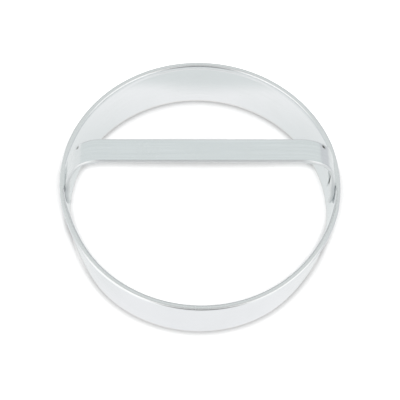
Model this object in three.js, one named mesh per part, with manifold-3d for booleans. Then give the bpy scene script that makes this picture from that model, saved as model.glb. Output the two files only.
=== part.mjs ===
// Round pastry cutter: a thin sheet-metal ring with a rolled top rim, and a strap handle with
// folded edges that arches across the ring and is spot-welded to the inside of its wall.
// Millimetres, +Z up. The origin is the ring's centre on the board that it stands on, and the
// strap runs along X.

import * as THREE from 'three';
import { mergeVertices } from 'three/addons/utils/BufferGeometryUtils.js';
import Module from 'manifold-3d';

// Ring: a strip bent round, with its top edge rolled outwards into a bead
const ringDiameter = 89;         // outside of the wall at the cutting edge
const ringHeight = 22.4;         // cutting edge to the top of the rim
const ringSheet = 0.4;           // thickness of the strip
const rimWidth = 1.6;            // over the rolled bead
const rimHeight = 2.1;           // of the bead, which is a little flattened
const rimRoll = 265;             // how far the sheet is rolled round, in degrees
const rimSetIn = 1.6;            // height over which the wall steps in below the bead
const rimSetInBend = 1.2;        // bend radius of that step, at the middle of the sheet

// Strap: a strip with both long edges folded under, bent down at each end
const strapWidth = 8;            // over the folds
const strapSheet = 0.4;          // thickness of the strip
const strapRise = 17.3;          // top of the rim to the top of the strap
const strapFold = 1.3;           // height over a folded edge
const strapFlange = 1.7;         // width of a folded edge
const strapCornerBend = 8.2;     // bend radius between the flat top and the leg, outside
const strapLean = 8.5;           // lean of the leg past the rim, in degrees from upright
const strapShoulderLean = 17;    // lean of the leg above its knee, in degrees from upright
const strapKnee = 5;             // top of the rim up to the knee
const strapKneeBend = 30;        // bend radius of the knee, outside
const strapTabBend = 6;          // bend radius between the leg and the welded tab, outside
const strapTabDepth = 11;        // top of the rim to the lower end of the tab

// Spot welds that hold each tab to the wall
const weldDiameter = 2.4;
const weldSpacing = 3.6;         // between the two welds of a tab, up the wall
const weldEdge = 2.8;            // lower end of the tab to the lower weld

// Fits
const seatGap = 0.05;            // tab to wall
const rimGap = 0.1;              // leg to rim
const weldGap = 0.03;            // weld to wall

// Facets
const ringFacets = 120;
const weldFacets = 16;
const foldTurn = 30;             // largest turn between points of a fold or roll, in degrees
const bendTurn = 10;             // largest turn between points of a strap bend, in degrees

// Sizes that follow from those above
const wallOuter = ringDiameter / 2;
const wallInner = wallOuter - ringSheet;
const rimCentreHeight = ringHeight - rimHeight / 2;
const foldRadius = strapFold / 2;
const strapTop = ringHeight + strapRise;
const tabEnd = ringHeight - strapTabDepth;
const flatHalfWidth = strapWidth / 2 - foldRadius;
const tabFace = Math.sqrt(wallInner ** 2 - flatHalfWidth ** 2) - seatGap;

const wasm = await Module();
wasm.setup();

// A line through the corners, with each inner corner rounded to its radius.
function bentLine(corners) {
  const line = new THREE.CurvePath();
  const place = corners.map((corner) => new THREE.Vector2(corner.x, corner.y));
  let from = place[0];
  for (let i = 1; i < corners.length - 1; i += 1) {
    const arrive = place[i].clone().sub(place[i - 1]).normalize();
    const leave = place[i + 1].clone().sub(place[i]).normalize();
    const turn = Math.atan2(arrive.cross(leave), arrive.dot(leave));
    const reach = corners[i].radius * Math.tan(Math.abs(turn) / 2);
    const arcStart = place[i].clone().addScaledVector(arrive, -reach);
    addStraight(line, from, arcStart);
    addArc(line, arcStart, arrive, corners[i].radius, turn);
    from = place[i].clone().addScaledVector(leave, reach);
  }
  addStraight(line, from, place.at(-1));
  return line;
}

function addStraight(line, from, to) {
  const shortest = 1e-6;
  if (from.distanceTo(to) > shortest) line.add(new THREE.LineCurve(from, to));
}

// An arc that leaves a point along a direction and turns by an angle, positive to the left.
function addArc(line, start, direction, radius, turn) {
  const side = Math.sign(turn);
  const centre = new THREE.Vector2(-direction.y, direction.x).multiplyScalar(side * radius).add(start);
  const first = Math.atan2(start.y - centre.y, start.x - centre.x);
  line.add(new THREE.EllipseCurve(centre.x, centre.y, radius, radius, first, first + turn, turn < 0));
}

// Points along a line with the normal to its left, close enough that none turns more than largestTurn.
function stationsAlong(line, largestTurn) {
  const stations = [];
  for (const curve of line.curves) {
    const turn = curve.isEllipseCurve ? Math.abs(curve.aEndAngle - curve.aStartAngle) : 0;
    const count = Math.max(1, Math.ceil(THREE.MathUtils.radToDeg(turn) / largestTurn));
    for (let i = stations.length === 0 ? 0 : 1; i <= count; i += 1) {
      const tangent = curve.getTangent(i / count);
      const normal = new THREE.Vector2(-tangent.y, tangent.x);
      stations.push({ point: curve.getPoint(i / count), normal });
    }
  }
  return stations;
}

// Section through a bent sheet: its middle line set off by half the thickness to each side.
function sheetOutline(middleLine, thickness) {
  const stations = stationsAlong(middleLine, foldTurn);
  const offset = (side) => ({ point, normal }) => point.clone().addScaledVector(normal, side * thickness / 2);
  const left = stations.map(offset(1));
  const right = stations.map(offset(-1));
  return right.concat(left.reverse());
}

function brightTinplate(colour, roughness) {
  return new THREE.MeshStandardMaterial({ color: colour, metalness: 1, roughness });
}

function namedMesh(name, geometry, material) {
  const mesh = new THREE.Mesh(geometry, material);
  mesh.name = name;
  return mesh;
}

function toSolid(geometry) {
  const bare = geometry.clone();
  bare.deleteAttribute('normal');
  bare.deleteAttribute('uv');
  const merged = mergeVertices(bare);
  const vertProperties = new Float32Array(merged.attributes.position.array);
  const triVerts = new Uint32Array(merged.index.array);
  return new wasm.Manifold(new wasm.Mesh({ numProp: 3, vertProperties, triVerts }));
}

function toGeometry(solid) {
  const mesh = solid.getMesh();
  const geometry = new THREE.BufferGeometry();
  geometry.setAttribute('position', new THREE.BufferAttribute(new Float32Array(mesh.vertProperties), 3));
  geometry.setIndex(new THREE.BufferAttribute(new Uint32Array(mesh.triVerts), 1));
  geometry.computeVertexNormals();
  return geometry;
}

// The ring's section turned about Z: upright wall, a step inwards, and the roll out over the top.
function cutterRing() {
  const wallMiddle = wallOuter - ringSheet / 2;
  const rollAcross = (rimWidth - ringSheet) / 2;
  const rollUp = (rimHeight - ringSheet) / 2;
  const rollStart = new THREE.Vector2(wallOuter - rollAcross, rimCentreHeight);
  const stepSlope = Math.atan2(wallMiddle - rollStart.x, rimSetIn);
  const stepReach = rimSetInBend * Math.tan(stepSlope / 2);
  const middleLine = bentLine([
    { x: wallMiddle, y: 0 },
    { x: wallMiddle, y: rimCentreHeight - stepReach - rimSetIn, radius: rimSetInBend },
    { x: rollStart.x, y: rimCentreHeight - stepReach, radius: rimSetInBend },
    { x: rollStart.x, y: rimCentreHeight },
  ]);
  const rollEnd = Math.PI - THREE.MathUtils.degToRad(rimRoll);
  middleLine.add(new THREE.EllipseCurve(wallOuter, rimCentreHeight, rollAcross, rollUp, Math.PI, rollEnd, true));
  const section = sheetOutline(middleLine, ringSheet);
  const geometry = new THREE.LatheGeometry([...section, section[0]], ringFacets);
  const ring = namedMesh('cutter_ring', geometry, brightTinplate(0xd6dbdd, 0.22));
  ring.rotation.x = Math.PI / 2;
  return ring;
}

// Section across the strap, with the outer face at height 0 and both edges folded under it.
function strapSection() {
  const half = strapWidth / 2;
  const skin = strapSheet / 2;
  const bend = foldRadius - skin;
  const middleLine = bentLine([
    { x: half - strapFlange, y: skin - strapFold },
    { x: half - skin, y: skin - strapFold, radius: bend },
    { x: half - skin, y: -skin, radius: bend },
    { x: skin - half, y: -skin, radius: bend },
    { x: skin - half, y: skin - strapFold, radius: bend },
    { x: strapFlange - half, y: skin - strapFold },
  ]);
  return new THREE.Shape(sheetOutline(middleLine, strapSheet));
}

// Side view of the strap's outer face: up one tab, leaning in past the rim, across the top, and down.
function strapSideLine() {
  const lean = THREE.MathUtils.degToRad(strapLean);
  const rimCentre = Math.sqrt(wallOuter ** 2 - flatHalfWidth ** 2);
  const clearance = Math.hypot(rimWidth * Math.cos(lean), rimHeight * Math.sin(lean)) / 2 + rimGap;
  const legReach = rimCentre * Math.cos(lean) + rimCentreHeight * Math.sin(lean) - clearance;
  const tabTop = (legReach - tabFace * Math.cos(lean)) / Math.sin(lean);
  const kneeHeight = ringHeight + strapKnee;
  const knee = (legReach - kneeHeight * Math.sin(lean)) / Math.cos(lean);
  const shoulderSlope = Math.tan(THREE.MathUtils.degToRad(strapShoulderLean));
  const corner = knee - (strapTop - kneeHeight) * shoulderSlope;
  return bentLine([
    { x: -tabFace, y: tabEnd },
    { x: -tabFace, y: tabTop, radius: strapTabBend },
    { x: -knee, y: kneeHeight, radius: strapKneeBend },
    { x: -corner, y: strapTop, radius: strapCornerBend },
    { x: corner, y: strapTop, radius: strapCornerBend },
    { x: knee, y: kneeHeight, radius: strapKneeBend },
    { x: tabFace, y: tabTop, radius: strapTabBend },
    { x: tabFace, y: tabEnd },
  ]);
}

// The section extruded straight, one unit long between stations, then carried along the side line.
function bentStrip(section, sideLine) {
  const stations = stationsAlong(sideLine, bendTurn);
  const steps = stations.length - 1;
  const geometry = new THREE.ExtrudeGeometry(section, { depth: steps, steps, bevelEnabled: false });
  const position = geometry.attributes.position;
  for (let i = 0; i < position.count; i += 1) {
    const { point, normal } = stations[Math.round(position.getZ(i))];
    const place = point.clone().addScaledVector(normal, position.getY(i));
    position.setXYZ(i, place.x, position.getX(i), place.y);
  }
  return geometry;
}

// A weld stands between the tab's outer face and the wall, and is part of the strap.
function weldSpot(side, height) {
  const bite = strapSheet / 2;
  const from = tabFace - bite;
  const to = Math.sqrt(wallInner ** 2 - (weldDiameter / 2) ** 2) - weldGap;
  const geometry = new THREE.CylinderGeometry(weldDiameter / 2, weldDiameter / 2, to - from, weldFacets);
  geometry.rotateZ(Math.PI / 2);
  geometry.translate(side * (from + to) / 2, 0, height);
  return toSolid(geometry);
}

function strapHandle() {
  let solid = toSolid(bentStrip(strapSection(), strapSideLine()));
  for (const side of [-1, 1]) {
    for (const step of [0, 1]) {
      solid = solid.add(weldSpot(side, tabEnd + weldEdge + step * weldSpacing));
    }
  }
  return namedMesh('strap_handle', toGeometry(solid), brightTinplate(0xc9cfd2, 0.26));
}

const pastryCutter = new THREE.Group();
pastryCutter.add(cutterRing(), strapHandle());

export default pastryCutter;
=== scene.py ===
# Round pastry cutter of bright tinplate: the bent sheet surfaces, their finish and a small studio.
# Metres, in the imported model's frame: the strap runs along X and the cutting edge stands on Z = 0.

import math

import bpy
import numpy as np
from mathutils import Matrix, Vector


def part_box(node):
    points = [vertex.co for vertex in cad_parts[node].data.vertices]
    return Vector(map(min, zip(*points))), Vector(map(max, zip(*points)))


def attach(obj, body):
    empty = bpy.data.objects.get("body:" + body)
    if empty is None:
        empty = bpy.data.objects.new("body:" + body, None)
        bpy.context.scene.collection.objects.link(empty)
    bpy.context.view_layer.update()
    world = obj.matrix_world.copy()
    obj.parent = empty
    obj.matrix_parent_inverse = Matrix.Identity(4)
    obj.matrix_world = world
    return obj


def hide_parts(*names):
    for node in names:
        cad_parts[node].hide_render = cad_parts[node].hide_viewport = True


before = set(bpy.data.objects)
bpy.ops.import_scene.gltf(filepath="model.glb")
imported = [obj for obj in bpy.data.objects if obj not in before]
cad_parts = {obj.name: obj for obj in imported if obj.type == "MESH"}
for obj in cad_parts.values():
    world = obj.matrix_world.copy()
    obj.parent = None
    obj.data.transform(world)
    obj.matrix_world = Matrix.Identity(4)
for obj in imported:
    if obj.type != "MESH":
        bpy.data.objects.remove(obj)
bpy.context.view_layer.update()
print("frame loaded:", ", ".join(sorted(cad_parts)))

mm = 0.001
white = (1, 1, 1, 1)
sharpTurn = 50           # edges that turn by more than this are shaded sharp, degrees
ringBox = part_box("cutter_ring")
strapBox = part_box("strap_handle")
rimTop = ringBox[1].z


# bent sheet

# Straight run: points at even steps from start to end, all with one heading, start left out.
# It has no points where start and end meet.
def straightRun(start, end, step):
    slack = 1e-6         # share of a step, so that rounding adds no point
    count = math.ceil(np.linalg.norm(end - start) / step - slack)
    share = np.arange(1, count + 1)[:, None] / max(count, 1)
    heading = math.atan2(end[1] - start[1], end[0] - start[0])
    return np.hstack([start + share * (end - start), np.full((count, 1), heading)])


# Arc: the spoke from centre to start is turned by even angles, and the heading turns with it.
def arcRun(start, heading, radius, turn, turnStep):
    count = math.ceil(abs(turn) / turnStep)
    sweep = turn * np.arange(1, count + 1) / count
    spoke = radius * np.sign(turn) * np.array([math.sin(heading), -math.cos(heading)])
    cosine, sine = np.cos(sweep), np.sin(sweep)
    x = start[0] - spoke[0] + spoke[0] * cosine - spoke[1] * sine
    y = start[1] - spoke[1] + spoke[0] * sine + spoke[1] * cosine
    return np.column_stack([x, y, heading + sweep])


# Line through corners: each inner corner is cut back by radius * tan(half its turn) and gets an arc.
# Rows are x, y and heading.
def bentLine(corners, radii, steps, turnStep):
    corners = np.array(corners, float)
    run = np.diff(corners, axis=0)
    headings = np.arctan2(run[:, 1], run[:, 0])
    turns = (np.diff(headings) + math.pi) % (2 * math.pi) - math.pi
    place = corners[0]
    rows = [np.array([[*place, headings[0]]])]
    for i, (turn, radius) in enumerate(zip(turns, radii)):
        reach = radius * math.tan(abs(turn) / 2)
        arcStart = corners[i + 1] - reach * np.array([math.cos(headings[i]), math.sin(headings[i])])
        rows.append(straightRun(place, arcStart, steps[i]))
        rows.append(arcRun(arcStart, headings[i], radius, turn, turnStep))
        place = rows[-1][-1, :2]
    rows.append(straightRun(place, corners[-1], steps[-1]))
    return np.vstack(rows)


# Outline of a sheet that follows a line: half the thickness to each side, with quarter rounds on the
# two cut edges. Gives the middle point, the offset and the heading of each outline point, the right
# side first, so that point i and point -1 - i face each other through the sheet.
def sheetOutline(line, thickness, edgeRound, edgeSteps=3):
    line = np.vstack([np.repeat(line[:1], edgeSteps, 0), line, np.repeat(line[-1:], edgeSteps, 0)])
    along = np.column_stack([np.cos(line[:, 2]), np.sin(line[:, 2])])
    left = np.column_stack([-along[:, 1], along[:, 0]])
    corner = np.linspace(0, math.pi / 2, edgeSteps + 1)[1:]
    side = np.full(len(line), thickness / 2)
    ahead = np.zeros(len(line))
    side[-edgeSteps:] -= edgeRound * (1 - np.cos(corner))
    ahead[-edgeSteps:] = edgeRound * np.sin(corner)
    side[:edgeSteps] = side[:-edgeSteps - 1:-1]
    ahead[:edgeSteps] = -ahead[:-edgeSteps - 1:-1]
    right = along * ahead[:, None] - left * side[:, None]
    other = along * ahead[:, None] + left * side[:, None]
    middle = np.vstack([line[:, :2], line[::-1, :2]])
    return middle, np.vstack([right, other[::-1]]), np.concatenate([line[:, 2], line[::-1, 2]])


# Running length along a row of points, from 0.
def runLength(points):
    return np.concatenate([[0], np.cumsum(np.linalg.norm(np.diff(points, axis=0), axis=1))])


# Soft step from 0 to 1 while value goes from low to high: 3t^2 - 2t^3.
def softStep(value, low, high):
    t = np.clip((value - low) / (high - low), 0, 1)
    return t * t * (3 - 2 * t)


# Surface over a grid of points [station, outline point]: quads between neighbours, closed round the
# outline, and either closed round the stations too or capped by quads across the sheet at both ends.
# Its UV map is the running length along stations and round the outline, in metres, and each mask
# becomes an attribute of the points.
def sheetSurface(name, grid, stationLength, outlineLength, closed, masks):
    stations, around = grid.shape[:2]
    spans = stations if closed else stations - 1
    s, o = np.meshgrid(np.arange(spans), np.arange(around), indexing="ij")
    cornerS = np.stack([s, s, s + 1, s + 1], -1).reshape(-1, 4)
    cornerO = np.stack([o, o + 1, o + 1, o], -1).reshape(-1, 4)
    if closed:
        outwards = [0, 3, 2, 1]    # the ring's stations run the other way past its outline than the strap's
        cornerS, cornerO = cornerS[:, outwards], cornerO[:, outwards]
    else:
        i = np.arange(around // 2 - 1)
        across = np.stack([i, around - 1 - i, around - 2 - i, i + 1], -1)
        cornerO = np.vstack([cornerO, across, across[:, ::-1]])
        cornerS = np.vstack([cornerS, np.zeros_like(across), np.full_like(across, stations - 1)])
    quads = (cornerS % stations) * around + cornerO % around
    uv = np.stack([stationLength[cornerS], outlineLength[cornerO]], -1)
    mesh = bpy.data.meshes.new(name)
    mesh.vertices.add(stations * around)
    mesh.vertices.foreach_set("co", grid.astype(np.float32).ravel())
    mesh.loops.add(quads.size)
    mesh.loops.foreach_set("vertex_index", quads.astype(np.int32).ravel())
    mesh.polygons.add(len(quads))
    mesh.polygons.foreach_set("loop_start", np.arange(0, quads.size, 4, dtype=np.int32))
    mesh.update(calc_edges=True)
    mesh.uv_layers.new(name="sheet").data.foreach_set("uv", uv.astype(np.float32).ravel())
    for mask, value in masks.items():
        value = np.broadcast_to(value, grid.shape[:2]).astype(np.float32)
        mesh.attributes.new(mask, "FLOAT", "POINT").data.foreach_set("value", value.ravel())
    mesh.shade_smooth()
    mesh.set_sharp_from_angle(angle=math.radians(sharpTurn))
    piece = bpy.data.objects.new(name, mesh)
    bpy.context.scene.collection.objects.link(piece)
    print(name, len(quads), "quads")
    return piece


# spot welds, where the electrodes dented the wall outside and the tab inside

weld = {
    "diameter": 2.4 * mm,
    "depth": 0.08 * mm,
    "flat": 0.55,              # share of the radius where the dent's floor is flat
    "spacing": 3.6 * mm,       # between the two welds of a tab, up the wall
    "edge": 2.8 * mm,          # lower end of the tab to the lower weld
}


# Depth of the weld dents: a flat floor with a soft rim, by distance from each weld's centre.
def weldDent(across, height):
    radius = weld["diameter"] / 2
    low = strapBox[0].z + weld["edge"]
    apart = [np.hypot(across, height - low - step * weld["spacing"]) for step in (0, 1)]
    dents = [1 - softStep(distance, weld["flat"] * radius, radius) for distance in apart]
    return weld["depth"] * sum(dents)


# cutter ring

ring = {
    "sheet": 0.4 * mm,         # thickness of the strip
    "rim": 1.6 * mm,           # width over the rolled bead
    "rimTall": 2.1 * mm,       # and its height
    "roll": 265,               # how far the bead is rolled round, degrees
    "setIn": 1.6 * mm,         # height of the step below the bead
    "setInBend": 1.2 * mm,     # its bend radius
    "edgeRound": 0.07 * mm,    # rounding of the cut edges
    "wave": 0.05 * mm,         # slow out-of-round left by bending
    "waveSines": [(2, 0.6, 1), (3, 2.1, 0.5), (7, 0, 0.25)],    # its waves round, phases and shares
    "seamWidth": 0.16 * mm,    # butt seam up the outside of the wall, behind the tab at +X
    "seamDepth": 0.03 * mm,
    "seamEnd": (3 * mm, 5 * mm),    # below the rim's top, where it starts and is full
    "seamDirt": 0.5,
    # where the wall was squeezed in: angle and half width in degrees, depth at the rim and at the foot
    "squeezes": [(205, 17, 0.4 * mm, 0.95 * mm), (322, 17, 0.3 * mm, 0.75 * mm)],
    "swell": 0.2 * mm,         # how much wider the bead is to each side, away from the tabs
    "tabSpan": (7, 18),        # degrees beside a tab over which a squeeze or the swell starts
    "pressHalf": 4.2 * mm,     # half the width over which a leg presses the bead flat
    "pressPower": 8,           # how square the ends of that stretch are
    "pressTurn": (50, 85),     # degrees round the roll where the pressed face ends
    "pressStart": 0.3 * mm,    # below the bead's centre, where it begins
    "pressGap": 0.05 * mm,     # left between leg and bead there
    "rollShade": (80, 190),     # degrees round the roll over which painted shade starts inside it
    "lipShade": (215, 260),     # and under its lip
    "stepShade": 0.4,           # painted shade inside the step below the bead, most at the back
    "stepShadeSpan": (12, 38),  # degrees from the back over which it fades
    "edgeWearShade": 1.2 * mm,      # height of the rubbed band above the cutting edge, darkened there as painted contact shade
    "crown": 0.6 * mm,         # and of the one on top of the bead
    "crownWear": 0.5,
    "pointStep": 0.4 * mm,     # between outline points up the wall
    "bendStep": 5,             # degrees between them in the step
    "rollStep": 10,            # and in the roll
    "columnStep": 1,           # degrees between columns
    "weldColumns": (3, 0.25),  # degrees beside a weld with closer ones, and their step
    "seamColumns": 9,
}
ring["outer"] = ringBox[1].x - ring["rim"] / 2
ring["inner"] = ring["outer"] - ring["sheet"]
ring["rimCentre"] = rimTop - ring["rimTall"] / 2


# Section of the ring in (radius, height): up the wall, a step inwards, and the roll out over the top.
# The roll is a round arc stretched upwards.
def ringSection():
    middle = ring["outer"] - ring["sheet"] / 2
    roll = (ring["rim"] - ring["sheet"]) / 2
    rollStart = ring["outer"] - roll
    slope = math.atan2(middle - rollStart, ring["setIn"])
    reach = ring["setInBend"] * math.tan(slope / 2)
    top = ring["rimCentre"]
    wall = bentLine(
        [(middle, ring["edgeRound"]), (middle, top - reach - ring["setIn"]), (rollStart, top - reach),
         (rollStart, top)],
        [ring["setInBend"]] * 2, [ring["pointStep"]] * 3, math.radians(ring["bendStep"]))
    turn = -math.radians(ring["roll"])
    bead = arcRun(wall[-1, :2], math.pi / 2, roll, turn, math.radians(ring["rollStep"]))
    stretch = (ring["rimTall"] - ring["sheet"]) / 2 / roll
    bead[:, 1] = top + (bead[:, 1] - top) * stretch
    bead[:, 2] = np.unwrap(np.arctan2(np.sin(bead[:, 2]) * stretch, np.cos(bead[:, 2])))
    return sheetOutline(np.vstack([wall, bead]), ring["sheet"], ring["edgeRound"])


# Angles of the ring's columns: even all round, closer at the welds, closest over the seam.
def ringAngles():
    even = np.arange(0, 360, ring["columnStep"])
    half, step = ring["weldColumns"]
    weldSpan = np.arange(-half, half + step / 2, step)
    seamSpan = np.degrees(ring["seamWidth"] / ring["outer"]) * np.linspace(-1, 1, ring["seamColumns"])
    degrees = np.concatenate([even, weldSpan, weldSpan + 180, seamSpan]) % 360
    return np.radians(np.unique(degrees.round(6)))    # one column where two fall together


# Angle from a place round the ring: the remainder by a whole turn, signed.
def turnFrom(angle, place):
    return (angle - place + math.pi) % (2 * math.pi) - math.pi


# Angle from the nearest tab: the tabs stand at 0 and half a turn, so the remainder by half a turn.
def turnFromTab(angle):
    return (angle + math.pi / 2) % math.pi - math.pi / 2


# How clear of the tabs each column is: 0 beside one, 1 well away from both.
def clearOfTabs(angle):
    return softStep(np.abs(np.degrees(turnFromTab(angle))), *ring["tabSpan"])


# Share of the seam [column, outline point]: a notch in the distance round, ending below the step.
def seamShare(angle, height):
    notch = np.clip(1 - np.abs(turnFrom(angle, 0)) * ring["outer"] / (ring["seamWidth"] / 2), 0, 1)
    return notch[:, None] * softStep(rimTop - height, *ring["seamEnd"])


# How far the bead widens [column, outline point]: its distance from the wall's outside grows by a share.
def beadSwell(angle, radius, height):
    onBead = softStep(height, rimTop - ring["rimTall"] - ring["setIn"] / 2, ring["rimCentre"])
    share = ring["swell"] / (ring["rim"] / 2) * clearOfTabs(angle)[:, None] * onBead
    return (radius - ring["outer"]) * share


# How far each column stands out of round: a sum of slow sines.
def outOfRound(angle):
    sines = [share * np.sin(waves * angle + phase) for waves, phase, share in ring["waveSines"]]
    return ring["wave"] * sum(sines)


# How far the wall is squeezed in [column, outline point]: bells in the angle, deeper towards the foot,
# and none at the tabs.
def squeezedIn(angle, height):
    low = np.clip(1 - height / rimTop, 0, 1)
    depth = 0
    for place, half, rim, foot in ring["squeezes"]:
        bell = np.exp(-(turnFrom(angle, math.radians(place)) / math.radians(half)) ** 2)
        depth = depth + (bell * clearOfTabs(angle))[:, None] * (rim + (foot - rim) * low)
    return depth


# Radius of the bead pressed against the legs: its facing side moves in to the plane of a leg's outer
# face, over a square-ended bell in the distance from the tab.
def pressedBead(angle, radius, height, facing):
    away = turnFromTab(angle)
    pressed = np.exp(-(away * ring["outer"] / ring["pressHalf"]) ** ring["pressPower"])[:, None] * facing
    legPlane = (legFace(height) + ring["pressGap"]) / np.cos(away)[:, None]
    return radius + pressed * (np.minimum(radius, legPlane) - radius)


# Painted shade and dirt [column, outline point]: painted shade deep in the roll and under its lip by how
# far the sheet has turned, and in the step, a bell in the height that fades away from the back; dirt along
# the seam.
def ringShadeAndDirt(angle, height, rolled, outside, seam):
    inRoll = np.where(outside, softStep(rolled, *ring["rollShade"]), softStep(rolled, *ring["lipShade"]))
    stepHalf = ring["setIn"] / 2
    fromStep = height - ring["rimCentre"] + stepHalf
    inStep = ring["stepShade"] * np.exp(-(fromStep / stepHalf) ** 2) * ~outside
    fromBack = np.abs(np.degrees(turnFrom(angle, math.pi / 2)))
    atBack = 1 - softStep(fromBack, *ring["stepShadeSpan"])
    return np.maximum(np.maximum(inRoll, atBack[:, None] * inStep), ring["seamDirt"] * seam)


# Turned surface: the section's middle line plus its offset, which is shortened where a weld or the seam
# sinks into the sheet. The radius then takes the swell, the wave, the squeezes and the legs' pressing.
def makeRing():
    middle, offset, heading = ringSection()
    height = middle[:, 1]
    outside = np.arange(len(middle)) < len(middle) // 2    # the wall's outer face, and inside the roll
    rolled = 90 - np.degrees(heading)                      # how far the sheet has turned from upright
    angle = ringAngles()
    seam = seamShare(angle, height) * outside
    dent = weldDent(turnFromTab(angle)[:, None] * ring["outer"], height) * outside
    sink = ring["seamDepth"] * seam + dent
    section = middle + offset * (1 - sink / (ring["sheet"] / 2))[..., None]
    radius = section[..., 0] + beadSwell(angle, section[..., 0], height)
    radius = radius + outOfRound(angle)[:, None] - squeezedIn(angle, height)
    facing = softStep(height, ring["rimCentre"] - ring["pressStart"], ring["rimCentre"])
    facing = facing * (1 - softStep(rolled, *ring["pressTurn"])) * ~outside
    radius = pressedBead(angle, radius, section[..., 1], facing)
    cosine, sine = np.cos(angle)[:, None], np.sin(angle)[:, None]
    grid = np.stack([radius * cosine, radius * sine, section[..., 1]], -1)
    plain = middle + offset
    rubbedAndShaded = 1 - softStep(plain[:, 1], 0, ring["edgeWearShade"])
    crown = softStep(plain[:, 1], rimTop - ring["crown"], rimTop)
    # painted shade in the roll and the step, dirt in the seam; wear with painted contact shade at the
    # cutting edge
    masks = {
        "paintedShadeAndDirt": ringShadeAndDirt(angle, height, rolled, outside, seam),
        "wearAndShade": np.maximum(rubbedAndShaded, ring["crownWear"] * crown),
    }
    stationLength = np.append(angle, 2 * math.pi) * ring["outer"]
    outlineLength = runLength(np.vstack([plain, plain[:1]]))
    return sheetSurface("cutterRing", grid, stationLength, outlineLength, closed=True, masks=masks)


# strap handle

strap = {
    "sheet": 0.4 * mm,         # thickness of the strip
    "fold": 1.3 * mm,          # height over a folded edge
    "flange": 1.7 * mm,        # width of a folded edge
    "cornerBends": (9.8 * mm, 11.5 * mm),    # bends between top and legs, outside, at -X and +X
    "lean": 8.5,               # lean of the legs past the rim, degrees
    "shoulderLeans": (22.5, 18),    # lean of each leg above the knee
    "knee": 5 * mm,            # height of the knee over the rim
    "kneeBend": 30 * mm,       # bend radius there
    "tabBend": 6 * mm,         # bend between leg and tab, outside
    "edgeRound": 0.07 * mm,    # rounding of the cut edges
    "endRound": 0.12 * mm,     # rounding of the tabs' ends
    "seatGap": 0.05 * mm,      # tab to wall
    "rimGap": 0.1 * mm,        # leg to rim
    "sway": 0.1 * mm,          # how far the top leans to +X
    "swayFull": 8 * mm,        # below the top, where it is reached
    "flare": 0.9,              # how far the hems open where the corner bends start, as a share
    "flareTurn": 16,           # where they are widest, degrees from the flat top
    "flareHalf": 2.4 * mm,
    "legFlare": 0.6,           # the same on the legs, beside the rim
    "legFlareHeight": 21 * mm,
    "legFlareHalf": 5 * mm,
    "crease": 0.02 * mm,       # depth of the crease across each corner bend
    "creaseWidth": 0.4 * mm,
    "creaseEnd": 0.7 * mm,     # over which it fades out beside the folds
    "pinch": 0.26 * mm,        # depth of the dents where a hem buckled in the bend
    "pinchHalf": (0.9 * mm, 0.55 * mm),    # their half length and half width
    "pinchIn": 1.2 * mm,       # their distance from the strap's edge
    "pinchSlant": 10,          # degrees between their length and the strap's
    # painted shade in the pinch dents
    "pinchShade": 0.9,
    # each bend's buckling: degrees from the flat top, then the share of the rear and the front dent
    "buckles": [(51, 0.75, 0.15), (-42, 1.1, 0.2)],
    "hemShade": (-0.15 * mm, 0.4 * mm),    # from a hem's raw edge inwards, where painted shade starts and is full
    "crown": 0.8 * mm,         # width of the rubbed band along each fold, darkened there as painted shade
    "pointSteps": (0.3 * mm, 0.18 * mm),    # between outline points on the folds and on the web
    "foldStep": 15,            # degrees between them round a fold
    "stationSteps": (0.25 * mm, 0.5 * mm, 0.8 * mm),    # along the tabs, the legs and the top
    "bendStep": 1.25,          # degrees between stations in a bend
    "endSteps": 3,             # stations on a rounded end
}
strap["width"] = strapBox[1].y - strapBox[0].y
strap["top"] = strapBox[1].z
strap["tabEnd"] = strapBox[0].z
strap["flatHalf"] = (strap["width"] - strap["fold"]) / 2


# Plane of a leg's outer face past the rim: how far out it stands at each height. It clears the oval
# bead by a gap.
def legFace(height):
    lean = math.radians(strap["lean"])
    beadReach = math.hypot(ring["rim"] * math.cos(lean), ring["rimTall"] * math.sin(lean)) / 2
    rimCentre = math.sqrt(ring["outer"] ** 2 - strap["flatHalf"] ** 2)
    atCentre = rimCentre - (beadReach + strap["rimGap"]) / math.cos(lean)
    return atCentre - (height - ring["rimCentre"]) * math.tan(lean)


# Section across the strap in (across, up): outer face at 0, both edges folded under it.
def strapSection():
    half = strap["width"] / 2
    skin = strap["sheet"] / 2
    bend = strap["fold"] / 2 - skin
    low = skin - strap["fold"]
    rawEdge = half - strap["flange"] + strap["edgeRound"]
    onFold, onWeb = strap["pointSteps"]
    line = bentLine(
        [(rawEdge, low), (half - skin, low), (half - skin, -skin),
         (skin - half, -skin), (skin - half, low), (-rawEdge, low)],
        [bend] * 4, [onFold, onFold, onWeb, onFold, onFold], math.radians(strap["foldStep"]))
    return sheetOutline(line, strap["sheet"], strap["edgeRound"])


# Side line of the outer face in (x, z): up a tab, leaning in past the rim, across the top, and down.
def strapSideLine():
    tabFace = math.sqrt(ring["inner"] ** 2 - strap["flatHalf"] ** 2) - strap["seatGap"]
    tabTop = (legFace(0) - tabFace) / math.tan(math.radians(strap["lean"]))
    kneeHeight = rimTop + strap["knee"]
    knee = legFace(kneeHeight)
    slopes = np.tan(np.radians(strap["shoulderLeans"]))
    left, right = knee - (strap["top"] - kneeHeight) * slopes
    leg = [(tabFace, strap["tabEnd"]), (tabFace, tabTop), (knee, kneeHeight)]
    top = [(-left, strap["top"]), (right, strap["top"])]
    bends = [strap["tabBend"], strap["kneeBend"]]
    onTab, onLeg, onTop = strap["stationSteps"]
    return bentLine(
        [(-x, z) for x, z in leg] + top + leg[::-1], [*bends, *strap["cornerBends"], *bends[::-1]],
        [onTab, onLeg, onLeg, onTop, onLeg, onLeg, onTab], math.radians(strap["bendStep"]))


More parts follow.
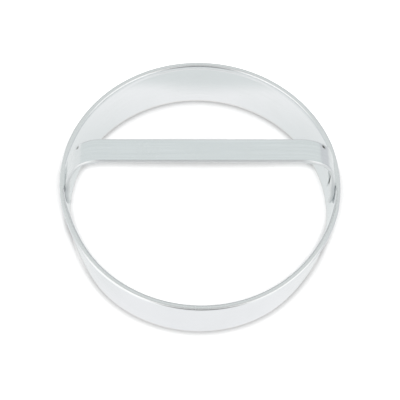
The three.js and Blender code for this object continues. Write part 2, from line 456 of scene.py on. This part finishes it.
# The side line with its two ends rounded off: extra stations on a quarter round, and the share of the
# sheet's thickness left at each station.
def roundedEnds(side):
    corner = np.linspace(0, math.pi / 2, strap["endSteps"] + 1)
    back = strap["endRound"] * (1 - np.cos(corner))
    left = 1 - strap["endRound"] * (1 - np.sin(corner)) / (strap["sheet"] / 2)
    ahead = np.column_stack([np.cos(side[[0, -1], 2]), np.sin(side[[0, -1], 2]), [0, 0]])
    first = side[0] + back[:, None] * ahead[0]
    last = side[-1] - back[::-1, None] * ahead[1]
    share = np.concatenate([left, np.ones(len(side) - 2), left[::-1]])
    return np.vstack([first, side[1:-1], last]), share


# Depth of the dents in the corner bends [station, outline point]: a crease across the web, a bell in the
# running length, and a slanting oval bell near each edge. Gives the push and the share that is a pinch.
def bendDents(length, heading, across):
    inFlat = 1 - softStep(np.abs(across), strap["flatHalf"] - strap["creaseEnd"], strap["flatHalf"])
    pinchAt = strap["width"] / 2 - strap["pinchIn"]
    slant = math.radians(strap["pinchSlant"])
    push = np.zeros((len(length), len(across)))
    pinched = np.zeros_like(push)
    for turn, rear, front in strap["buckles"]:
        fromCrease = (length - np.interp(-math.radians(turn), -heading, length))[:, None]
        push += strap["crease"] * np.exp(-(fromCrease / strap["creaseWidth"]) ** 2) * inFlat
        down = -math.copysign(1, turn) * fromCrease
        for place, share in ((pinchAt, rear), (-pinchAt, front)):
            inwards = (place - across) * math.copysign(1, place)
            long = (down * math.cos(slant) + inwards * math.sin(slant)) / strap["pinchHalf"][0]
            short = (down * math.sin(slant) - inwards * math.cos(slant)) / strap["pinchHalf"][1]
            pinched += share * np.exp(-long ** 2 - short ** 2)
    return push + strap["pinch"] * pinched, pinched


# How far the hems open at each station: a bell in the running length beside each corner bend, and one
# in the height on each leg.
def hemFlare(length, height, heading):
    places = np.interp(np.radians([-strap["flareTurn"], strap["flareTurn"]]), -heading, length)
    bends = sum(np.exp(-((length - place) / strap["flareHalf"]) ** 2) for place in places)
    legs = np.exp(-((height - strap["legFlareHeight"]) / strap["legFlareHalf"]) ** 2)
    return strap["flare"] * bends + strap["legFlare"] * legs


# The section carried along the side line: the middle line plus its offset, its height along the line's
# left normal. Welds shorten the offset on the tabs' inner faces, the bends' dents push the web down, and
# the hems open by a share of their depth below the web.
def makeStrap():
    middle, offset, _ = strapSection()
    inside = np.arange(len(middle)) >= len(middle) // 2
    web = middle[:, 1] > -strap["sheet"]
    side, share = roundedEnds(strapSideLine())
    x, z, heading = side.T
    length = runLength(side[:, :2])
    push, pinched = bendDents(length, heading, middle[:, 0])
    sink = weldDent(middle[:, 0], z[:, None]) * inside * web
    section = middle + offset * (share[:, None] - sink / (strap["sheet"] / 2))[..., None]
    rise = section[..., 1] - push * web
    rise = rise + np.minimum(rise + strap["sheet"], 0) * hemFlare(length, z, heading)[:, None]
    x = x[:, None] - np.sin(heading)[:, None] * rise
    z = z[:, None] + np.cos(heading)[:, None] * rise
    x = x + strap["sway"] * softStep(z, rimTop, strap["top"] - strap["swayFull"])
    plain = middle + offset
    fromEdge = strap["width"] / 2 - np.abs(plain[:, 0])
    inHem = softStep(strap["flange"] - fromEdge, *strap["hemShade"]) * inside
    # painted shade in the hems and the pinch dents; wear and painted shade along the folds
    masks = {
        "paintedShadeAndDirt": np.maximum(inHem, strap["pinchShade"] * pinched * web),
        "wearAndShade": 1 - softStep(fromEdge, 0, strap["crown"]),
    }
    outlineLength = runLength(np.vstack([plain, plain[:1]]))
    grid = np.stack([x, section[..., 0], z], -1)
    return sheetSurface("strapHandle", grid, length, outlineLength, closed=False, masks=masks)


# shader nodes

# Adds a shader node; an input is set to a value, or linked where the value is another node's socket.
def addNode(tree, kind, inputs=(), **settings):
    node = tree.nodes.new("ShaderNode" + kind)
    for key, value in settings.items():
        setattr(node, key, value)
    for key, value in dict(inputs).items():
        if isinstance(value, bpy.types.NodeSocket):
            tree.links.new(value, node.inputs[key])
        else:
            node.inputs[key].default_value = value
    return node


# Result of one sum, product or other operation on values.
def maths(tree, operation, *values, clamped=False):
    inputs = dict(enumerate(values))
    return addNode(tree, "Math", inputs, operation=operation, use_clamp=clamped).outputs[0]


# The same on vectors, for an operation that gives a value.
def vectorMaths(tree, operation, *vectors):
    return addNode(tree, "VectorMath", dict(enumerate(vectors)), operation=operation).outputs["Value"]


# Colour between two others by a factor; the node's sockets for colours are 6, 7 and 2.
def mixColour(tree, factor, first, second):
    return addNode(tree, "Mix", {0: factor, 6: first, 7: second}, data_type="RGBA").outputs[2]


# Value between two others by a factor; the node's sockets for values are 2, 3 and 0.
def mixValue(tree, factor, first, second):
    return addNode(tree, "Mix", {0: factor, 2: first, 3: second}).outputs[0]


# Factor that goes softly from one end to the other while a value goes from low to high.
def softRange(tree, value, low, high, start=0, end=1):
    limits = {"Value": value, "From Min": low, "From Max": high, "To Min": start, "To Max": end}
    return addNode(tree, "MapRange", limits, interpolation_type="SMOOTHSTEP").outputs[0]


# Noise whose grains have the given sizes along the vector's axes.
def grainNoise(tree, vector, sizes, detail):
    place = addNode(tree, "Mapping", {"Vector": vector, "Scale": [1 / size for size in sizes]}).outputs[0]
    return addNode(tree, "TexNoise", {"Vector": place, "Scale": 1, "Detail": detail}).outputs["Fac"]


# Node group with named sockets. Gives the group, its inputs to read and its outputs to fill.
def newGroup(name, inputs, outputs):
    group = bpy.data.node_groups.new(name, "ShaderNodeTree")
    for socket, kind in inputs.items():
        group.interface.new_socket(socket, in_out="INPUT", socket_type="NodeSocket" + kind)
    for socket, kind in outputs.items():
        group.interface.new_socket(socket, in_out="OUTPUT", socket_type="NodeSocket" + kind)
    return group, group.nodes.new("NodeGroupInput").outputs, group.nodes.new("NodeGroupOutput").inputs


# finishes

marks = {
    "streakGrain": (30 * mm, 0.9 * mm, 1),    # along the strip and across it
    "streakDetail": 3,
    "streakEdge": (0.3, 0.7),                 # noise over which a streak starts
    "lineGrain": (6 * mm, 0.11 * mm, 1),
    "lineDetail": 2,
    "hazeGrain": (11 * mm, 11 * mm, 11 * mm),
    "hazeDetail": 4,
    "hazeEdge": (0.42, 0.68),
    "scratchTurns": [(0.4, 0.9, 0.3), (-0.5, 0.3, 1.4)],    # directions of the scratches, radians
    "scratchGrain": (24 * mm, 0.8 * mm, 0.8 * mm),
    "scratchLevel": 0.66,                     # noise along which a scratch runs
    "scratchHalf": 0.015,                     # and half its width in it
    "waveGrain": (8 * mm, 8 * mm, 8 * mm),
    "waveDetail": 1,
}


# Rolling marks: long streaks of tone and fine lines, drawn out along the strip.
def rollingMarks():
    group, given, result = newGroup(
        "rollingMarks", {"Sheet": "Vector"}, {"Streak": "Float", "Line": "Float"})
    streak = grainNoise(group, given["Sheet"], marks["streakGrain"], marks["streakDetail"])
    line = grainNoise(group, given["Sheet"], marks["lineGrain"], marks["lineDetail"])
    group.links.new(softRange(group, streak, *marks["streakEdge"]), result["Streak"])
    group.links.new(line, result["Line"])
    return group


# Traces of use: cloudy haze, hairline scratches two ways, and the slow waviness of thin sheet.
# A scratch runs where drawn-out noise crosses a level.
def handlingMarks():
    group, given, result = newGroup(
        "handlingMarks", {"Place": "Vector"}, {"Haze": "Float", "Scratch": "Float", "Waviness": "Float"})
    haze = grainNoise(group, given["Place"], marks["hazeGrain"], marks["hazeDetail"])
    group.links.new(softRange(group, haze, *marks["hazeEdge"]), result["Haze"])
    scratch = 0
    for turn in marks["scratchTurns"]:
        inputs = {"Vector": given["Place"], "Rotation": turn}
        turned = addNode(group, "VectorRotate", inputs, rotation_type="EULER_XYZ").outputs[0]
        ridge = grainNoise(group, turned, marks["scratchGrain"], 0)
        apart = maths(group, "ABSOLUTE", maths(group, "SUBTRACT", ridge, marks["scratchLevel"]))
        hairline = softRange(group, apart, 0, marks["scratchHalf"], 1, 0)
        scratch = maths(group, "MAXIMUM", hairline, scratch)
    group.links.new(scratch, result["Scratch"])
    waviness = grainNoise(group, given["Place"], marks["waveGrain"], marks["waveDetail"])
    group.links.new(waviness, result["Waviness"])
    return group


groups = {"rolling": rollingMarks(), "handling": handlingMarks()}

tin = {
    "hazeTone": 0.5,                     # how much of the haze's and of the rubbed colour with its painted shade shows
    "wearAndShadeTone": 0.6,
    "shadeAndDirt": (0.09, 0.085, 0.08, 1),      # colour of the dirt and of the painted shade
    "shadeAndDirtEdge": (0.1, 0.9),              # mask over which they start
    "streakRough": 0.03,                 # how much rougher each mark makes the sheet
    "hazeRough": 0.05,
    "scratchRough": 0.12,
    "shadeAndDirtRough": 0.3,
}


# Bright tinplate: streaked and hazed by rolling and use; duller and darker where it is rubbed, with painted
# shade along the cutting edge and the folds; dark with painted shade in the roll, step, hems and dents, and
# with dirt in the seam.
def tinplate(name, finish):
    material = bpy.data.materials.new(name)
    material.use_nodes = True
    tree = material.node_tree
    shader = tree.nodes["Principled BSDF"]
    sheet = addNode(tree, "UVMap", uv_map="sheet").outputs[0]
    place = addNode(tree, "TexCoord").outputs["Object"]
    rolling = addNode(tree, "Group", {"Sheet": sheet}, node_tree=groups["rolling"])
    streak, line = rolling.outputs
    handling = addNode(tree, "Group", {"Place": place}, node_tree=groups["handling"])
    haze, scratch, waviness = handling.outputs
    paintedShadeAndDirt = addNode(tree, "Attribute", attribute_name="paintedShadeAndDirt").outputs["Fac"]
    wearAndShade = addNode(tree, "Attribute", attribute_name="wearAndShade").outputs["Fac"]

    toned = mixColour(tree, streak, finish["bright"], finish["streak"])
    hazed = mixColour(tree, maths(tree, "MULTIPLY", haze, tin["hazeTone"]), toned, finish["haze"])
    # rubbed colour with painted shade along edges and folds, then the dark colour of painted shade and dirt
    rubbedAndShaded = mixColour(tree, maths(tree, "MULTIPLY", wearAndShade, tin["wearAndShadeTone"]), hazed, finish["rubbedAndShaded"])
    shadeAndDirty = softRange(tree, paintedShadeAndDirt, *tin["shadeAndDirtEdge"], 0, finish["shadeAndDirt"])
    tree.links.new(mixColour(tree, shadeAndDirty, rubbedAndShaded, tin["shadeAndDirt"]), shader.inputs["Base Color"])

    rough = finish["roughness"]
    for mark, weight in [
            (streak, tin["streakRough"]), (haze, tin["hazeRough"]), (scratch, tin["scratchRough"]),
            (wearAndShade, finish["dull"]), (paintedShadeAndDirt, tin["shadeAndDirtRough"])]:
        rough = maths(tree, "MULTIPLY_ADD", mark, weight, rough)
    tree.links.new(rough, shader.inputs["Roughness"])

    waved = addNode(tree, "Bump", {"Height": waviness, "Distance": finish["waviness"]}).outputs[0]
    lined = addNode(tree, "Bump", {"Height": line, "Distance": finish["lines"], "Normal": waved}).outputs[0]
    tree.links.new(lined, shader.inputs["Normal"])
    shader.inputs["Metallic"].default_value = 1
    return material


ringFinish = {
    "bright": (0.83, 0.847, 0.86, 1),
    "streak": (0.815, 0.832, 0.845, 1),
    "haze": (0.80, 0.82, 0.828, 1),
    "rubbedAndShaded": (0.735, 0.715, 0.69, 1),   # where edges have been rubbed, and painted shade along the cutting edge
    "dull": 0.12,                        # and how much rougher they are
    "shadeAndDirt": 0.9,                         # share of the dirt in the seam and of the painted shade in the roll and the step
    "roughness": 0.12,
    "waviness": 0.02 * mm,               # depths of the bump
    "lines": 0.0008 * mm,
}
strapFinish = {
    "bright": (0.835, 0.852, 0.859, 1),
    "streak": (0.785, 0.806, 0.813, 1),
    "haze": (0.79, 0.81, 0.812, 1),
    # rubbed along the folds, and darkened there as painted shade
    "rubbedAndShaded": (0.73, 0.74, 0.745, 1),
    "dull": 0.2,
    "shadeAndDirt": 0.95,                        # painted shade in the hems and the dents
    "roughness": 0.13,
    "waviness": 0.02 * mm,
    "lines": 0.001 * mm,
}


# studio: a pale tent round the cutter, with a dim opening at the front for the camera

tent = {
    "cloth": (0.785, 0.825, 0.825, 1),
    "opening": (0.62, 0.635, 0.64, 1),   # round the camera
    "openingTowards": (0, -0.6, 0.8),
    "openingEdge": (0.68, 0.98),         # cosines between which it starts
    "room": (0.33, 0.335, 0.34, 1),      # low in the opening, below the camera
    "roomTowards": (0.02, -0.94, 0.34),
    "roomEdge": (0.84, 0.97),
    "bounces": 24,                       # of light between the leg and the rim
    # panels low on the left, right, front and back, then bright ones at both sides of the opening:
    # colour, direction, and the cosines to it and the heights between which each fades in
    "panels": [
        ((0.92, 0.935, 0.93, 1), (-0.98, 0.2, 0), (0.1, 0.5), (0.07, -0.02)),
        ((0.69, 0.705, 0.725, 1), (0.9, 0.44, 0), (0.2, 0.6), (0.24, 0.16)),
        ((0.62, 0.63, 0.64, 1), (0.1, -0.995, 0), (0.55, 0.95), (0.5, 0.3)),
        ((0.42, 0.42, 0.43, 1), (0, 1, 0), (0.5, 0.8), (0.3, 0.12)),
        ((1.25, 1.25, 1.24, 1), (-0.6, -0.72, 0.34), (0.72, 0.82), (0.84, 0.74)),
        ((1.25, 1.25, 1.24, 1), (0.6, -0.72, 0.34), (0.72, 0.82), (0.84, 0.74)),
    ],
}


# Factor of a world direction: how far it lies towards an aim, softly between two cosines.
def lookingTo(tree, direction, aim, edge):
    return softRange(tree, vectorMaths(tree, "DOT_PRODUCT", direction, aim), *edge)


# The world: white to the camera, and to the metal the tent, with its opening, panels and room mixed in
# one over another.
def makeTent():
    world = bpy.data.worlds.new("tent")
    bpy.context.scene.world = world
    world.cycles_visibility.diffuse = False    # so that it doesn't wash out the shadows
    world.use_nodes = True
    tree = world.node_tree
    direction = addNode(tree, "TexCoord").outputs["Generated"]
    opening = lookingTo(tree, direction, tent["openingTowards"], tent["openingEdge"])
    seen = mixColour(tree, opening, tent["cloth"], tent["opening"])
    for colour, towards, aside, height in tent["panels"]:
        turned = lookingTo(tree, direction, towards, aside)
        low = lookingTo(tree, direction, (0, 0, 1), height)
        seen = mixColour(tree, maths(tree, "MULTIPLY", turned, low), seen, colour)
    room = lookingTo(tree, direction, tent["roomTowards"], tent["roomEdge"])
    seen = mixColour(tree, room, seen, tent["room"])
    toMetal = addNode(tree, "LightPath").outputs["Is Glossy Ray"]
    tree.links.new(mixColour(tree, toMetal, white, seen), tree.nodes["Background"].inputs["Color"])


# The floor as the metal mirrors it
mirrored = {
    "inside": (1.02, 1.02, 1.02, 1),     # well inside the ring
    "insideEnd": (33 * mm, 40 * mm),     # distances from the centre over which that becomes white
    "outside": (0.965, 0.965, 0.975, 1),
    "sides": (0.815, 0.845, 0.84, 1),    # to the left and right
    "sidesInside": (10 * mm, 46 * mm),   # where the sides start and are full, inside the ring
    "sidesOutside": (26 * mm, 44 * mm, 0, 0.6),    # and outside, with their shares there
    "beyond": (1.13, 1.13, 1.13, 1),     # further out in front of each flank
    "beyondFrom": (66 * mm, 76 * mm),
    "beyondAside": (28 * mm, 40 * mm),
    "beyondAhead": (-32 * mm, -42 * mm),
    "far": (0.70, 0.715, 0.735, 1),      # far to the right
    "farFrom": (95 * mm, 125 * mm),
    "shade": (0.81, 0.84, 0.835, 1),     # soft oval shade of the camera
    "shadePlace": (-0.5 * mm, 12.4 * mm, 0),
    "shadeHalf": (17.5 * mm, 27.4 * mm, 1),
    "shadeTurn": -6,                     # degrees
    "shadeEdge": (0.82, 1.1),            # shares of its half sizes over which it ends
}


# The floor's colour in the metal: white, greyer to both sides, brighter beyond the flanks and dim far to
# the right, with the camera's shade, whose edge is a distance in its own half sizes.
def mirroredFloor(tree, place, fromCentre):
    across, along, _ = addNode(tree, "SeparateXYZ", {0: place}).outputs
    aside = maths(tree, "ABSOLUTE", across)
    inside = softRange(tree, fromCentre, ring["inner"], ring["outer"], 1, 0)
    whitened = softRange(tree, fromCentre, *mirrored["insideEnd"])
    middle = mixColour(tree, whitened, mirrored["inside"], white)
    colour = mixColour(tree, inside, mirrored["outside"], middle)
    near = maths(tree, "MULTIPLY", softRange(tree, aside, *mirrored["sidesInside"]), inside)
    sides = maths(tree, "MAXIMUM", near, softRange(tree, aside, *mirrored["sidesOutside"]))
    colour = mixColour(tree, sides, colour, mirrored["sides"])
    beyond = softRange(tree, fromCentre, *mirrored["beyondFrom"])
    beyond = maths(tree, "MULTIPLY", beyond, softRange(tree, aside, *mirrored["beyondAside"]))
    beyond = maths(tree, "MULTIPLY", beyond, softRange(tree, along, *mirrored["beyondAhead"]))
    colour = mixColour(tree, beyond, colour, mirrored["beyond"])
    colour = mixColour(tree, softRange(tree, across, *mirrored["farFrom"]), colour, mirrored["far"])
    oval = {
        "Vector": place,
        "Location": mirrored["shadePlace"],
        "Rotation": (0, 0, math.radians(mirrored["shadeTurn"])),
        "Scale": mirrored["shadeHalf"],
    }
    fromShade = addNode(tree, "Mapping", oval, vector_type="TEXTURE").outputs[0]
    ended = softRange(tree, vectorMaths(tree, "LENGTH", fromShade), *mirrored["shadeEdge"])
    return mixColour(tree, ended, mirrored["shade"], colour)


floor = {
    "half": 1.5,                         # half its side
    "pale": 0.8,
    "glow": 0.42,                        # its light that no shadow takes away
    "glowFrom": (0, -12 * mm, 0),        # point in front of the centre
    "glowFull": (54 * mm, 66 * mm),      # and distances from it over which that light rises to white
    "contact": 4 * mm,                   # how far the contact shade reaches
    "contactRays": 8,                    # that look for what hides the sky
    "contactOpen": (0.1, 0.95, 1, 0),    # share of open sky over which it goes from full to none
    # its strength inside and outside the ring: two distances to the side, and the strength at each
    "contactInside": (34 * mm, 45 * mm, 1, 0.4),
    "contactOutside": (43.5 * mm, 46 * mm, 1, 1.5),
}


# Shade round the foot, 1 where there is none: by how much of the sky close objects hide, with its own
# strength inside and outside the ring.
def contactShade(tree, place, fromCentre):
    rays = {"Distance": floor["contact"]}
    opened = addNode(tree, "AmbientOcclusion", rays, samples=floor["contactRays"]).outputs["AO"]
    aside = maths(tree, "ABSOLUTE", addNode(tree, "SeparateXYZ", {0: place}).outputs["X"])
    within = softRange(tree, aside, *floor["contactInside"])
    without = softRange(tree, aside, *floor["contactOutside"])
    outside = softRange(tree, fromCentre, ring["inner"], ring["outer"])
    strength = mixValue(tree, outside, within, without)
    shade = maths(tree, "MULTIPLY", strength, softRange(tree, opened, *floor["contactOpen"]))
    return maths(tree, "SUBTRACT", 1, shade, clamped=True)


# A square floor: to the camera it is lit, with a glow that rises to white away from the cutter, and to
# the metal it has its mirrored colour.
def makeFloor():
    half = floor["half"]
    corners = [(-half, -half, 0), (half, -half, 0), (half, half, 0), (-half, half, 0)]
    mesh = bpy.data.meshes.new("floor")
    mesh.from_pydata(corners, [], [(0, 1, 2, 3)])
    board = bpy.data.objects.new("floor", mesh)
    bpy.context.scene.collection.objects.link(board)
    material = bpy.data.materials.new("paleFloor")
    material.use_nodes = True
    tree = material.node_tree
    tree.nodes.clear()
    place = addNode(tree, "TexCoord").outputs["Object"]
    fromCentre = vectorMaths(tree, "LENGTH", place)
    contact = contactShade(tree, place, fromCentre)
    fromFront = vectorMaths(tree, "DISTANCE", place, floor["glowFrom"])
    strength = softRange(tree, fromFront, *floor["glowFull"], floor["glow"], 1)
    strength = maths(tree, "MULTIPLY", contact, strength)
    glow = addNode(tree, "Emission", {"Strength": strength}).outputs[0]
    pale = maths(tree, "MULTIPLY", contact, floor["pale"])
    lit = addNode(tree, "BsdfDiffuse", {"Color": pale}).outputs[0]
    direct = addNode(tree, "AddShader", {0: glow, 1: lit}).outputs[0]
    colour = mirroredFloor(tree, place, fromCentre)
    inMetal = addNode(tree, "Emission", {"Color": colour}).outputs[0]
    toMetal = addNode(tree, "LightPath").outputs["Is Glossy Ray"]
    seen = addNode(tree, "MixShader", {0: toMetal, 1: direct, 2: inMetal}).outputs[0]
    addNode(tree, "OutputMaterial", {"Surface": seen})
    mesh.materials.append(material)


lamp = {
    "energy": 0.76,
    "size": (45 * mm, 15 * mm),
    "distance": 290 * mm,     # from the strap's front edge, just over the camera
    "height": 61.7,           # elevation there, degrees
    "aside": -8 * mm,
}


# A small area lamp at a distance and elevation from the strap's front edge, which it faces.
def makeLamp():
    data = bpy.data.lights.new("frontLamp", "AREA")
    data.shape = "RECTANGLE"
    data.size, data.size_y = lamp["size"]
    data.energy = lamp["energy"]
    front = bpy.data.objects.new("frontLamp", data)
    tilt = Matrix.Rotation(math.radians(90 - lamp["height"]), 4, "X")
    edge = Matrix.Translation((lamp["aside"], -strap["width"] / 2, strap["top"]))
    front.matrix_world = edge @ tilt @ Matrix.Translation((0, 0, lamp["distance"]))
    front.visible_glossy = False    # the metal mirrors the tent, not the lamp
    bpy.context.scene.collection.objects.link(front)


view = {
    "aim": (0.5 * mm, 3.1 * mm, 0),      # point on the board that the camera looks at
    "turn": 4.15,                        # camera's swing from straight in front of the strap, degrees
    "height": 62.84,                     # elevation, degrees
    "distance": 302.6 * mm,
    "roll": 3.62,                        # degrees
    "lens": 78.56,                       # millimetres
    "sensor": 36,                        # width of the picture behind it, millimetres
}


# The camera: rolled, set back from the aim, tilted down to it and swung round it.
def makeCamera():
    data = bpy.data.cameras.new("camera")
    data.lens = view["lens"]
    data.sensor_width = view["sensor"]
    camera = bpy.data.objects.new("camera", data)
    tilt = Matrix.Rotation(math.radians(90 - view["height"]), 4, "X")
    swing = Matrix.Rotation(math.radians(-view["turn"]), 4, "Z")
    roll = Matrix.Rotation(math.radians(view["roll"]), 4, "Z")
    back = Matrix.Translation((0, 0, view["distance"]))
    camera.matrix_world = Matrix.Translation(view["aim"]) @ swing @ tilt @ back @ roll
    bpy.context.scene.collection.objects.link(camera)
    bpy.context.scene.camera = camera


# Gives a piece its material and the body it rides on, and hides the CAD node it replaces.
def placePiece(piece, material, node):
    piece.data.materials.append(material)
    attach(piece, "root")
    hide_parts(node)


placePiece(makeRing(), tinplate("ringTinplate", ringFinish), "cutter_ring")
placePiece(makeStrap(), tinplate("strapTinplate", strapFinish), "strap_handle")
print("pieces placed")

makeTent()
makeFloor()
makeLamp()
makeCamera()
scene = bpy.context.scene
scene.cycles.glossy_bounces = tent["bounces"]
scene.view_settings.view_transform = "Standard"
print("studio ready")
